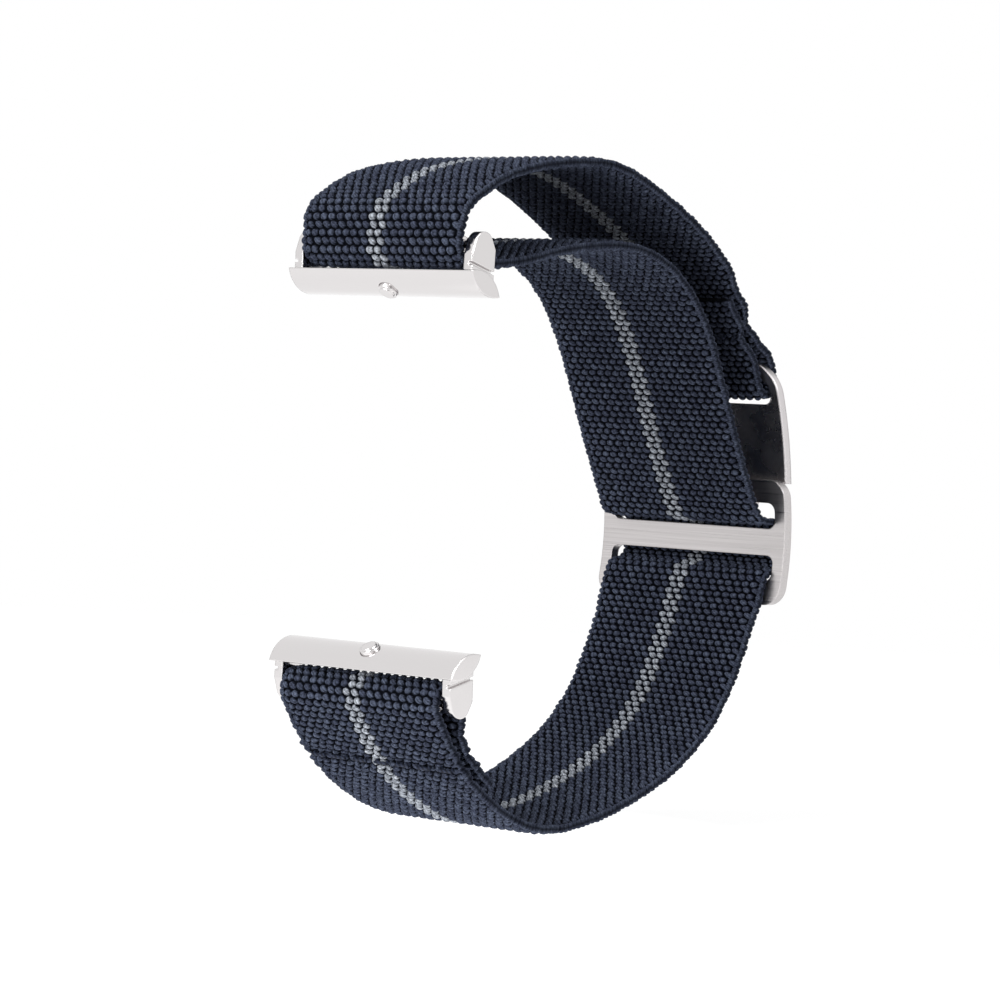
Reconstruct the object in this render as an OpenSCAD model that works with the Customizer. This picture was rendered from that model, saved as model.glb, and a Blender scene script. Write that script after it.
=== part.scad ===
// Woven elastic watch strap with two rail adapters, an adjuster frame and a hook clasp.
// +X is the strap's width, +Y is the back of the wrist loop, +Z points to the upper adapter.
// The origin is midway between the two adapters, where the watch sits.

/* [Webbing] */
// Width of the webbing
webbing_width = 23.6; // [16:0.1:26]
// Width of the webbing where it is gathered into the hook plate
gathered_width = 22.4; // [15:0.1:25]
// Thickness of the webbing
webbing_thickness = 1.5; // [1.1:0.05:1.8]
// Thickness where the adjuster frame pinches the webbing
pinched_thickness = 1.1; // [0.8:0.05:1.3]
// Gap between two layers that are sewn together
layer_gap = 0.05; // [0.02:0.01:0.2]
// Clearance between a bar and the webbing folded round it
fold_clearance = 0.3; // [0.25:0.05:0.6]
// Gap in the outer layer where it stretches, ahead of its sewn end
stretch_gap = 0.3; // [0.2:0.05:0.6]

/* [Stitching] */
// Radius of the sewing thread
thread_radius = 0.17; // [0.1:0.01:0.25]
// Number of stitches in a row
stitch_count = 13; // [5:1:21]
// Distance from the last stitch to the webbing's edge
stitch_margin = 1.4; // [0.8:0.1:3]

/* [Adapters] */
// Height of the spring bars above and below the origin
bar_height = 24.3; // [20:0.1:30]
// Place of the spring bars, front to back
bar_y = -0.5; // [-2:0.1:1]
// Distance from a spring bar down to the middle of its rail
rail_drop = 4.15; // [3.9:0.05:5]
// Length of the lens-shaped section of a rail
rail_section_length = 5.1; // [4.4:0.1:5.4]
// Thickness of the lens-shaped section of a rail
rail_section_thickness = 2.1; // [2:0.05:2.2]
// Angle of the rail's section below the horizontal
rail_angle = 31; // [25:1:35]
// How far a rail runs past each ear
rail_overrun = 0.5; // [0.2:0.05:2]
// Radius of an ear's round end
ear_radius = 1.35; // [1.2:0.05:1.6]
// Depth of an ear where it meets its rail
ear_depth = 3.5; // [3:0.1:4]
// Thickness of an ear
ear_thickness = 1.2; // [1.1:0.05:2]
// Side clearance between the webbing and an ear
ear_clearance = 0.3; // [0.25:0.05:0.8]

/* [Spring bars] */
// Radius of a spring bar's tube
bar_radius = 0.9; // [0.8:0.05:1]
// Radius of the bore in the tube
bar_bore_radius = 0.5; // [0.4:0.05:0.55]
// Radius of the pin at a tip's end
tip_pin_radius = 0.5; // [0.4:0.05:0.55]
// How far a tip's pin stands in its ear
tip_engagement = 0.6; // [0.5:0.05:0.7]
// Travel of a tip into the tube
tip_travel = 0.95; // [0.95:0.05:1.2]
// Length of a tip's shank that stays inside the tube
tip_shank = 3; // [2:0.5:5]
// Radial running clearance of every sliding fit
running_clearance = 0.05; // [0.02:0.01:0.1]

/* [Latches] */
// Radius of a rail's sprung latch button
button_radius = 1.1; // [0.8:0.05:1.3]
// How far a latch button stands out of its rail
button_protrusion = 0.45; // [0.3:0.05:0.6]
// Height of the wave spring under a latch button
latch_spring_height = 0.5; // [0.45:0.05:0.6]

/* [Adjuster frame] */
// Place of the frame's skin side at its middle bar
adjuster_y = 51.5; // [50:0.1:53]
// Height of the frame's middle
adjuster_z = -6.4; // [-8:0.1:-5]
// Thickness of the frame's plate
adjuster_thickness = 1.2; // [1:0.05:1.4]
// Radius the frame is curved to, on its skin side
adjuster_curve = 30; // [26:1:60]
// Height of the frame's top bar and bottom bar
end_bar_height = 2.7; // [2.2:0.1:3]
// Height of the frame's middle bar
middle_bar_height = 3.1; // [2.8:0.1:3.4]
// Height of each slot in the frame
slot_height = 2.95; // [2.8:0.05:3.4]
// Width of the posts at the frame's sides
post_width = 1.5; // [1.2:0.1:3]
// Side clearance between the webbing and a post
post_clearance = 0.5; // [0.4:0.1:2]
// Radius of the frame's outer corners
frame_corner = 2; // [1:0.1:2.5]
// Radius of the slots' corners
slot_corner = 1; // [0.6:0.1:1.2]

/* [Hook plate] */
// Thickness of the hook plate
hook_thickness = 1; // [0.8:0.05:1.05]
// Radius the hook plate is curved to, on its skin side
hook_curve = 45; // [40:1:60]
// Height of the axis the plate is curved about
hook_axis_z = -4.2; // [-5:0.1:-3]
// Height of the hook plate's top edge
hook_top = 14.2; // [14:0.1:15]
// Height of the bar above the plate's slot
hook_bar_height = 2.2; // [1.8:0.1:2.4]
// Height of the plate's slot
hook_slot_height = 2.6; // [2.4:0.1:3]
// Side clearance between the gathered webbing and the end of the plate's slot
hook_slot_clearance = 0.4; // [0.2:0.1:1]
// Width of the plate on each side of its slot
hook_side_width = 1.2; // [1:0.1:3]
// Radius of the plate's top corners
hook_corner = 3.5; // [2:0.1:4]
// Width of the hook's tongue
tongue_width = 16; // [10:0.5:20]
// Clearance between the hook and the frame's top bar
hook_clearance = 0.15; // [0.1:0.01:0.2]
// Middle radius of the hook's two bends
hook_bend = 0.75; // [0.7:0.05:0.8]
// Height of the tongue above its bend
tongue_height = 0.8; // [0.5:0.1:2.6]

/* [Hidden] */
$fn = 96;
navy = [0.17, 0.19, 0.26];
thread_navy = [0.12, 0.14, 0.2];
polished = [0.78, 0.78, 0.8];
brushed = [0.68, 0.67, 0.66];
spring_steel = [0.6, 0.6, 0.62];
overlap = 0.2;
cut_margin = 1;
bend_step = 3;

// Spring bars and the folds round them
fold_radius = bar_radius + fold_clearance + webbing_thickness / 2;
layer_step = webbing_thickness + layer_gap;
ear_inside = webbing_width / 2 + ear_clearance;
ear_outside = ear_inside + ear_thickness;
pin_end = ear_inside + tip_engagement;
collar_length = 0.55;
collar_outside = ear_inside - 0.25;
collar_inside = collar_outside - collar_length;
tube_end = collar_inside - tip_travel - 0.1;
shank_end = tube_end - tip_shank;
rail_z = bar_height - rail_drop;

// Adjuster frame
slot_width = webbing_width + 2 * post_clearance;
adjuster_width = slot_width + 2 * post_width;
adjuster_height = middle_bar_height + 2 * slot_height + 2 * end_bar_height;
adjuster_axis = adjuster_y - adjuster_curve;
top_bar_bottom = adjuster_z + middle_bar_height / 2 + slot_height;
top_bar_top = top_bar_bottom + end_bar_height;

// Webbing threaded through the frame, worked out from the middle bar both ways
thread_gap = 0.45;
thread_middle = [adjuster_y + adjuster_thickness + thread_gap + pinched_thickness / 2, adjuster_z, 90];
up_run = [[middle_bar_height / 2 - 0.4, 0], [1.75, 87], [adjuster_thickness + 1.25, 0], [1.5, -57],
    [2.3, -2]];
down_run = [[middle_bar_height / 2 - 0.12, 0], [2.9, -87], [2, 71], [1.45, 0]];
inner_start = walk(thread_middle, up_run);
lower_finish = turned(walk(turned(thread_middle), down_run));

// Hook plate, set against the outer face of the frame's top bar
hook_bend_top = top_bar_bottom;
top_bar_outer = arc_y(adjuster_axis, adjuster_z, adjuster_curve + adjuster_thickness, top_bar_bottom);
hook_shoulder = top_bar_top - 0.4;
hook_axis = top_bar_outer + hook_clearance + 0.1
    - sqrt(pow(hook_curve, 2) - pow(hook_bend_top - hook_axis_z, 2));
hook_middle_radius = hook_curve + hook_thickness / 2;
hook_slot_width = gathered_width + 2 * hook_slot_clearance;
hook_width = hook_slot_width + 2 * hook_side_width;
hook_slot_top = hook_top - hook_bar_height;
tongue_outer = arc_y(adjuster_axis, adjuster_z, adjuster_curve, top_bar_top) - hook_clearance - 0.07;
hook_run_start = [arc_y(hook_axis, hook_axis_z, hook_middle_radius, hook_bend_top), hook_bend_top, -90];
hook_floor = hook_run_start[0] - hook_bend - (tongue_outer - hook_thickness / 2 + hook_bend);
quarter = hook_bend * PI / 2;
hook_run = [[quarter, -90], [hook_floor, 0], [quarter, -90], [tongue_height, 0]];

// Fold round the hook plate's top bar
hook_fold_radius = (hook_thickness + webbing_thickness) / 2 + hook_clearance;
hook_fold_z = hook_slot_top - 0.1;
hook_loop_z = hook_top - 0.3;

// Stations of the strap's side outline: place front to back, height, heading in degrees from +Y.
// The strap is followed from the lower bar, through the frame, over the upper bar, to the hook.
lower_sewn = [1.5, -30.5, -49];
upper_sewn = [47.5, 17.2, -58];
outer_finish = [43.8, 22.2, -49];
lower_leave = -60;
lower_stations = [lower_sewn, [11, -37, -22], [19, -38, 7], [33, -34, 24], [41.5, -28.5, 43],
    [46, -22.5, 63], lower_finish];
inner_stations = [inner_start, [43, 8.5, 114], [37, 19.5, 128], [29, 25, 163], [21.5, 25.7, 184],
    [bar_y, bar_height - fold_radius, 180]];
outer_stations = [[bar_y - fold_radius, bar_height, 90], [-0.8, 29, 35], [6, 32.5, 16], [18.5, 34.5, 3],
    [26, 33.3, -20], outer_finish];
lower_main_start = on_circle([bar_y, -bar_height], fold_radius, lower_leave);
lower_tail_top = [bar_y + fold_radius, -bar_height, -90];
hook_loop_start = walk(outer_finish, [[stretch_gap, 0]]);
hook_fold_start = on_side(hook_fold_z, hook_fold_radius);
hook_fold_end = on_side(hook_fold_z, -hook_fold_radius);

// Pose arithmetic: a pose is [y, z, heading], a segment is [length, turn]
function step(p, s) = abs(s[1]) < 0.01
    ? [p[0] + s[0] * cos(p[2]), p[1] + s[0] * sin(p[2]), p[2]]
    : let (r = s[0] * 180 / PI / s[1])
      [p[0] + r * (sin(p[2] + s[1]) - sin(p[2])), p[1] - r * (cos(p[2] + s[1]) - cos(p[2])), p[2] + s[1]];
function walk(p, run, i = 0) = i >= len(run) ? p : walk(step(p, run[i]), run, i + 1);
function first(run, count) = [for (i = [0 : 1 : count - 1]) run[i]];
function trace(start, run, d) = [for (i = [0 : len(run) - 1])
    let (p = walk(start, first(run, i)), n = max(1, ceil(abs(run[i][1]) / bend_step)))
        for (k = [i == 0 ? 0 : 1 : n]) let (q = beside(step(p, run[i] * k / n), d)) [q[0], q[1]]];
function turned(p) = [p[0], p[1], p[2] + 180];
function beside(p, d) = [p[0] - d * sin(p[2]), p[1] + d * cos(p[2]), p[2]];
function on_circle(c, r, h) = [c[0] + r * cos(h - 90), c[1] + r * sin(h - 90), h];
function on_side(z, r) = let (a = asin((z - hook_axis_z) / hook_middle_radius))
    [hook_axis + (hook_middle_radius + r) * cos(a), hook_axis_z + (hook_middle_radius + r) * sin(a),
    r > 0 ? a - 90 : a + 90];
function arc_y(axis_y, axis_z, r, z) = axis_y + sqrt(pow(r, 2) - pow(z - axis_z, 2));
function wrapped(a) = a - 360 * floor((a + 180) / 360);

// One arc from a pose to a point, and two arcs that join two poses smoothly
function arc_to(p, q) =
    let (d = [q[0] - p[0], q[1] - p[1]], a = wrapped(atan2(d[1], d[0]) - p[2]), c = norm(d))
    [abs(a) < 0.005 ? c : c * abs(a) * PI / 180 / sin(abs(a)), 2 * a];
function join(p, q) =
    let (t1 = [cos(p[2]), sin(p[2])], t2 = [cos(q[2]), sin(q[2])], v = [q[0] - p[0], q[1] - p[1]],
        k = 2 * (1 - t1 * t2), b = v * (t1 + t2),
        d = k < 0.000001 ? v * v / (4 * (v * t2)) : (sqrt(b * b + k * (v * v)) - b) / k,
        m = ([p[0], p[1]] + [q[0], q[1]] + d * (t1 - t2)) / 2, s = arc_to(p, m))
    [s, arc_to(step(p, s), q)];
function offset_run(run, d) = [for (s = run) [s[0] - d * s[1] * PI / 180, s[1]]];
function retraced(run) = [for (s = backwards(run)) [s[0], -s[1]]];
function backwards(list) = [for (i = [len(list) - 1 : -1 : 0]) list[i]];
function joined(stations) = [for (i = [0 : len(stations) - 2]) each join(stations[i], stations[i + 1])];

// Draws in the side plane, so that a drawing's x, y and z become the strap's Y, Z and X
module side_plane() {
    rotate([90, 0, 90]) children();
}

// A flat band bent along a run
module band(start, run, thickness, width) {
    left = trace(start, run, thickness / 2);
    right = trace(start, run, -thickness / 2);
    side_plane()
        translate([0, 0, -width / 2])
            linear_extrude(height = width)
                polygon(concat(right, backwards(left)));
}

module rod(y, z, x0, x1, r) {
    side_plane() translate([y, z, x0]) cylinder(r = r, h = x1 - x0);
}

module rounded_window(width, height, r) {
    square([width - 2 * r, height], center = true);
    square([width, height - 2 * r], center = true);
    for (x = [-1, 1], y = [-1, 1])
        translate([x * (width / 2 - r), y * (height / 2 - r)]) circle(r);
}

// A curved plate: a slice of a tube about an axis along X, cut to an outline seen from the front
module curved_plate(axis_y, axis_z, radius, thickness, width, height, low) {
    intersection() {
        difference() {
            rod(axis_y, axis_z, -width / 2 - cut_margin, width / 2 + cut_margin, radius + thickness);
            rod(axis_y, axis_z, -width / 2 - 2 * cut_margin, width / 2 + 2 * cut_margin, radius);
        }
        translate([0, axis_y + radius + 2 * thickness, low])
            rotate([90, 0, 0])
                linear_extrude(height = 8 * thickness) children();
    }
}

module webbing(start, run) {
    color(navy) band(start, run, webbing_thickness, webbing_width);
}

module lower_end_loop() {
    tail = first(join(lower_sewn, lower_stations[1]), 1);
    tail_finish = turned(beside(walk(lower_sewn, tail), layer_step));
    wrap = 270 + lower_leave;
    webbing(tail_finish, concat(retraced(offset_run(tail, layer_step)),
        join(turned(beside(lower_sewn, layer_step)), turned(lower_tail_top)),
        [[fold_radius * wrap * PI / 180, wrap]], join(lower_main_start, lower_sewn)));
}

module lower_strap() {
    webbing(lower_sewn, joined(lower_stations));
}

module webbing_in_adjuster() {
    color(navy) band(lower_finish, concat(retraced(down_run), up_run), pinched_thickness, webbing_width);
}

module inner_strap() {
    webbing(inner_start, joined(inner_stations));
}

module upper_fold() {
    webbing([bar_y, bar_height - fold_radius, 180], [[fold_radius * PI / 2, -90]]);
}

module outer_strap() {
    webbing(outer_stations[0], joined(outer_stations));
}

module hook_end_loop() {
    sewn = join(hook_loop_start, upper_sewn);
    tail_start = turned(beside(upper_sewn, -layer_step));
    loop = joined([upper_sewn, on_side(hook_loop_z, hook_fold_radius), hook_fold_start]);
    back = joined([hook_fold_end, on_side(hook_loop_z, -hook_fold_radius), tail_start]);
    color(navy)
        band(hook_loop_start, concat(sewn, loop, [[hook_fold_radius * PI, -180]], back,
            retraced(offset_run(sewn, -layer_step))), webbing_thickness, gathered_width);
}

// A running stitch across the strap, through the two layers on the skin side of a pose
module stitches(p, side, width) {
    pitch = (width - 2 * stitch_margin) / stitch_count;
    outer = -side * (webbing_thickness / 2 - thread_radius / 3);
    inner = side * (webbing_thickness / 2 + layer_step - thread_radius / 3);
    color(thread_navy)
        side_plane()
            translate([p[0], p[1], -width / 2 + stitch_margin])
                rotate(p[2]) {
                    for (i = [0 : stitch_count])
                        translate([0, min(outer, inner), i * pitch])
                            rotate([-90, 0, 0]) cylinder(r = thread_radius, h = abs(outer - inner));
                    for (i = [0 : stitch_count - 1])
                        translate([0, i % 2 == 0 ? outer : inner, i * pitch - thread_radius])
                            cylinder(r = thread_radius, h = pitch + 2 * thread_radius);
                }
}

module lower_stitches() {
    stitches(walk(lower_sewn, [[0.8, 0]]), 1, webbing_width);
}

module hook_stitches() {
    stitches(walk(upper_sewn, [[-0.8, 0]]), -1, gathered_width);
}

module adjuster_frame() {
    color(brushed)
        curved_plate(adjuster_axis, adjuster_z, adjuster_curve, adjuster_thickness, adjuster_width,
            adjuster_height, adjuster_z)
            difference() {
                rounded_window(adjuster_width, adjuster_height, frame_corner);
                for (side = [-1, 1])
                    translate([0, side * (middle_bar_height + slot_height) / 2])
                        rounded_window(slot_width, slot_height, slot_corner);
            }
}

module hook_plate() {
    color(polished) {
        curved_plate(hook_axis, hook_axis_z, hook_curve, hook_thickness, hook_width, hook_top, 0)
            hook_outline();
        band(walk(hook_run_start, [[-overlap, 0]]), concat([[overlap, 0]], hook_run), hook_thickness,
            tongue_width);
    }
}

module hook_outline() {
    plate_height = hook_top - hook_shoulder;
    difference() {
        union() {
            translate([0, hook_top - plate_height / 2])
                rounded_window(hook_width, plate_height, hook_corner);
            translate([-hook_width / 2, hook_shoulder]) square([hook_width, plate_height / 2]);
            translate([-tongue_width / 2, hook_bend_top])
                square([tongue_width, hook_shoulder - hook_bend_top + overlap]);
        }
        translate([0, hook_slot_top - hook_slot_height / 2])
            rounded_window(hook_slot_width, hook_slot_height, 1);
    }
}

// One adapter as it stands above the watch: a lens-shaped rail with an ear at each end
module adapter() {
    lens_radius = (pow(rail_section_length, 2) / 4 + pow(rail_section_thickness / 2, 2))
        / rail_section_thickness;
    rail_half = ear_outside + rail_overrun;
    color(polished)
        difference() {
            union() {
                intersection() {
                    rail_side(lens_radius, rail_half, 1);
                    rail_side(lens_radius, rail_half, -1);
                }
                for (side = [-1, 1]) ear(side);
            }
            for (side = [-1, 1]) {
                ear_pocket(side);
                ear_groove(side);
            }
            latch_line(-rail_section_thickness / 2 + 0.5, rail_section_thickness,
                button_radius + running_clearance);
        }
}

module rail_side(lens_radius, rail_half, side) {
    offset_y = lens_radius - rail_section_thickness / 2;
    side_plane()
        translate([bar_y, rail_z, -rail_half])
            rotate(-rail_angle)
                translate([0, side * offset_y, 0]) cylinder(r = lens_radius, h = 2 * rail_half);
}

// An ear leans in towards its round end, a little more in front than behind
module ear(side) {
    half = ear_depth / 2;
    side_plane()
        translate([bar_y, bar_height, side > 0 ? ear_inside : -ear_outside]) {
            cylinder(r = ear_radius, h = ear_thickness);
            linear_extrude(height = ear_thickness)
                polygon([[-0.95 * ear_radius, 0.31 * ear_radius], [0.9 * ear_radius, 0.44 * ear_radius],
                    [half, -0.5], [half - 0.1, -rail_drop + 0.1], [-half, -rail_drop + 1.2],
                    [-half, -1]]);
        }
}

module ear_pocket(side) {
    depth = tip_engagement + 0.3;
    rod(bar_y, bar_height, side > 0 ? ear_inside - 1 : -ear_inside - depth,
        side > 0 ? ear_inside + depth : -ear_inside + 1, tip_pin_radius + running_clearance);
}

// A shallow groove across an ear's outer face, just above the rail
module ear_groove(side) {
    groove_width = 0.35;
    groove_depth = 0.5;
    side_plane()
        translate([bar_y, rail_z, side > 0 ? ear_outside - groove_depth : -ear_outside - cut_margin])
            rotate(-rail_angle / 2)
                translate([-ear_depth, rail_section_thickness / 2 + groove_width, 0])
                    cube([2 * ear_depth, groove_width, groove_depth + cut_margin]);
}

// A round bar along the latch's line, from s0 to s1 outwards from the middle of the rail
module latch_line(s0, s1, r) {
    side_plane()
        translate([bar_y, rail_z, 0])
            rotate(-rail_angle)
                rotate([90, 0, 0]) translate([0, 0, s0]) cylinder(r = r, h = s1 - s0);
}

module latch_button() {
    floor = -rail_section_thickness / 2 + 0.5 + latch_spring_height;
    head = rail_section_thickness / 2 + button_protrusion;
    color(polished) {
        latch_line(floor, head - 0.2, button_radius);
        latch_line(head - 0.25, head, button_radius - 0.25);
    }
}

module latch_spring() {
    floor = -rail_section_thickness / 2 + 0.5;
    color(spring_steel)
        difference() {
            latch_line(floor, floor + latch_spring_height, button_radius - 0.1);
            latch_line(floor - 1, floor + 1, button_radius - 0.4);
        }
}

module bar_tube() {
    color(polished)
        difference() {
            rod(bar_y, bar_height, -tube_end, tube_end, bar_radius);
            rod(bar_y, bar_height, -tube_end - 1, tube_end + 1, bar_bore_radius);
        }
}

module bar_spring() {
    color(spring_steel)
        difference() {
            rod(bar_y, bar_height, -shank_end, shank_end, bar_bore_radius - running_clearance);
            rod(bar_y, bar_height, -shank_end - 1, shank_end + 1, bar_bore_radius - 0.2);
        }
}

module bar_tip(side) {
    color(polished)
        mirror([side > 0 ? 0 : 1, 0, 0]) {
            rod(bar_y, bar_height, shank_end, collar_inside + 0.1, bar_bore_radius - running_clearance);
            rod(bar_y, bar_height, collar_inside, collar_outside, bar_radius - 0.1);
            rod(bar_y, bar_height, collar_outside - 0.1, pin_end, tip_pin_radius);
        }
}

// The lower adapter and what it holds are the upper ones turned over
module below() {
    mirror([0, 0, 1]) children();
}

lower_end_loop();
lower_strap();
webbing_in_adjuster();
inner_strap();
upper_fold();
outer_strap();
hook_end_loop();
lower_stitches();
hook_stitches();
adjuster_frame();
hook_plate();
adapter();  // upper_adapter
bar_tube();  // upper_bar_tube
bar_spring();  // upper_bar_spring
bar_tip(-1);  // upper_bar_tip_left
bar_tip(1);  // upper_bar_tip_right
latch_button();  // upper_latch_button
latch_spring();  // upper_latch_spring
below() adapter();  // lower_adapter
below() bar_tube();  // lower_bar_tube
below() bar_spring();  // lower_bar_spring
below() bar_tip(-1);  // lower_bar_tip_left
below() bar_tip(1);  // lower_bar_tip_right
below() latch_button();  // lower_latch_button
below() latch_spring();  // lower_latch_spring
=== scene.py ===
"""Woven elastic watch strap: beaded webbing, sewn loops, brushed adjuster frame and polished steel.

The webbing is one strip on a route of arcs, woven in ten lengths that stand for the plain solids. The two
bars' springs are coils of wire. Every other piece is the solid itself, with its finish.
"""
import math

import bpy
import numpy as np
from mathutils import Matrix, Vector


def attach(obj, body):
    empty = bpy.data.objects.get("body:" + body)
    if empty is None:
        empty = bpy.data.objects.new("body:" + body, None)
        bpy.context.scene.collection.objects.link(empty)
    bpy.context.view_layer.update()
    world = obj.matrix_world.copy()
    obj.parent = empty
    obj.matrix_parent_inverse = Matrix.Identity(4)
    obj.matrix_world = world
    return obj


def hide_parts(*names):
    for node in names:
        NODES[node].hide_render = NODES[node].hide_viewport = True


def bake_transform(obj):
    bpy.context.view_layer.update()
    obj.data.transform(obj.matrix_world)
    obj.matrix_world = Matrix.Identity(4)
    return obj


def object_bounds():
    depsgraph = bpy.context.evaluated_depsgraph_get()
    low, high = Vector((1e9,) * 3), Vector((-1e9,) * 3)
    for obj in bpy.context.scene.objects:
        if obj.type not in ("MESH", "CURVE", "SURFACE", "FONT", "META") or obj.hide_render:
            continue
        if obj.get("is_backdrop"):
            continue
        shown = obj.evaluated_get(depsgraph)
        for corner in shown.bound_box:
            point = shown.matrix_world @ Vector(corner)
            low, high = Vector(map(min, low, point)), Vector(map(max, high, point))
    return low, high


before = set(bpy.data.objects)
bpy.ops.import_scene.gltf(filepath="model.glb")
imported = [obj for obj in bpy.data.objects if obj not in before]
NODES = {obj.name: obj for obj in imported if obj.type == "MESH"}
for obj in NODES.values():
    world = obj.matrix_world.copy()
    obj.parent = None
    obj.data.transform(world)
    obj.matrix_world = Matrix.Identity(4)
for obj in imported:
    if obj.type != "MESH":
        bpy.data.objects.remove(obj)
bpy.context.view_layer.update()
MM = 0.001

# Sizes of the part's source, in mm and degrees: +Y to the back, +Z to the upper adapter
WIDTH, GATHERED, THICK, PINCHED, LAYER_GAP = 23.6, 22.4, 1.5, 1.1, 0.05
BAR_Y, BAR_Z, BAR_R, FOLD_GAP = -0.5, 24.3, 0.9, 0.3
FOLD = BAR_R + FOLD_GAP + THICK / 2
LAYER = THICK + LAYER_GAP
FRAME_Y, FRAME_Z, FRAME_THICK, FRAME_CURVE = 51.5, -6.4, 1.2, 30.0
MID_BAR, SLOT, THREAD_GAP = 3.1, 2.95, 0.45
HOOK_CURVE, HOOK_Z, HOOK_THICK, HOOK_TOP, HOOK_BAR = 45.0, -4.2, 1.0, 14.2, 2.2
HOOK_GAP, HOOK_STANDS_OFF, STRETCH = 0.15, 0.1, 0.3
HOOK_MIDDLE = HOOK_CURVE + HOOK_THICK / 2
STITCH_IN = 0.8
SHANK_END = 7.1

# Weave: beads of yarn across the webbing and rows of them along it, each row shifted against the last
COLUMNS, ROW_WANTED, SHIFT = 19, 0.74, 0.2
BEAD_RISE, BEAD_VARIES = 0.46, 0.16
EDGE_BAND, EDGE_FALL, EDGE_ROUND = 0.46, 0.24, 0.9
PER_BEAD, PER_ROW = 6, 6
FACE_POINTS = COLUMNS * PER_BEAD + 1
FACE_HALF = WIDTH / 2 - EDGE_BAND

# A bead in shares of its cell: its middle and how far that wanders, its half sizes, how much wider it is at
# its far end, how it leans, and the two steps that give each bead a number of its own
BEAD_MIDDLE, BEAD_WANDER = 0.45, 0.1
HALF_ACROSS, HALF_ALONG, FLARE = 0.45, 0.48, 0.1
LEAN, SLOPE = 0.08, 0.1
COLUMN_STEP, ROW_STEP = 0.7549, 0.5698

# The wrapped cord along each edge, with a little of it past the webbing's width: its points go round from
# one face to the other, and the pattern counts it as two beads
EDGE_R, EDGE_OVER, EDGE_CELLS = 0.3, 0.02, 2
CORD_SUNK, CORD_DEEPER, CORD_WANDER, WRAP_SWELL = 0.08, 0.2, 0.05, 0.07
LOBE_OUT, LOBE_IN, FRAY_OUT, FRAY_SWELL = 0.26, 0.16, 0.3, 0.1
CORD_X = WIDTH / 2 - EDGE_R + EDGE_OVER
CORD_ANGLES = np.radians([140, 105, 78, 50, 18, -18, -50, -78, -105, -140])
CELLS_ROUND = 2 * COLUMNS + 2 * EDGE_CELLS

# First of the two light columns on one face and on the other, which is counted the other way
STRIPE = 8
STRIPE_BACK = 2 * COLUMNS + EDGE_CELLS - STRIPE - 2

# How far the webbing departs from an even band, in mm: rows spread by the turn over the upper bar, width
# over the bar and in the frame, and what the stitches do to it
ROW_SPREAD, BAR_SPREAD, FRAME_SPREAD = 1.3, 0.5, 0.7
SEAM_DRAWN, SEAM_WAVE, SEAM_GROOVE, SEAM_LUMPS = 1.2, 0.7, 0.3, 0.09
GROOVE_REACH, RUCK_REACH = 0.45, 3.4


def walk(pose, run):
    """The pose at the end of a chain of arcs: each arc's chord is worked out from its turn."""
    y, z, h = pose
    for length, turn in run:
        a, b = math.radians(h), math.radians(h + turn)
        if abs(turn) < 0.01:
            y, z = y + length * math.cos(a), z + length * math.sin(a)
        else:
            r = length / math.radians(turn)
            y, z = y + r * (math.sin(b) - math.sin(a)), z - r * (math.cos(b) - math.cos(a))
        h += turn
    return (y, z, h)


def turned(p):
    """The same place, faced the other way."""
    return (p[0], p[1], p[2] + 180)


def beside(p, d):
    """A pose moved sideways, to the left of its heading."""
    a = math.radians(p[2])
    return (p[0] - d * math.sin(a), p[1] + d * math.cos(a), p[2])


def arc_to(p, q):
    """The arc from pose p, along its heading, to point q: it turns by twice the chord's angle."""
    v = np.subtract(q[:2], p[:2])
    a = (math.degrees(math.atan2(v[1], v[0])) - p[2] + 180) % 360 - 180
    c = float(np.hypot(*v))
    return (c if abs(a) < 0.005 else c * math.radians(abs(a)) / math.sin(math.radians(abs(a))), 2 * a)


def join(p, q):
    """Two arcs that join two poses smoothly; both tangent lengths are equal where the arcs meet."""
    t1, t2 = (np.array([math.cos(math.radians(h)), math.sin(math.radians(h))]) for h in (p[2], q[2]))
    v = np.subtract(q[:2], p[:2])
    k, b = 2 * (1 - t1 @ t2), v @ (t1 + t2)
    d = v @ v / (4 * (v @ t2)) if k < 1e-6 else (math.sqrt(b * b + k * (v @ v)) - b) / k
    middle = (np.add(p[:2], q[:2]) + d * (t1 - t2)) / 2
    first = arc_to(p, middle)
    return [first, arc_to(walk(p, [first]), q)]


def joined(stations):
    """The arcs through a list of poses."""
    return [s for a, b in zip(stations, stations[1:]) for s in join(a, b)]


def retraced(run):
    """The same arcs, followed from their end to their start."""
    return [(length, -turn) for length, turn in reversed(run)]


def offset_run(run, d):
    """The arcs that lie beside a run: an arc on its inner side is shorter by its turn times the distance."""
    return [(length - d * math.radians(turn), turn) for length, turn in run]


def length_of(run):
    """The length along all of a run's arcs."""
    return sum(s[0] for s in run)


def hook_side(z, r):
    """The pose at height z on the hook plate's curve, r outside its middle: down outside, up inside."""
    a = math.asin((z - HOOK_Z) / HOOK_MIDDLE)
    reach = HOOK_MIDDLE + r
    heading = math.degrees(a) + (-90 if r > 0 else 90)
    return (hook_axis + reach * math.cos(a), HOOK_Z + reach * math.sin(a), heading)


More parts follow.
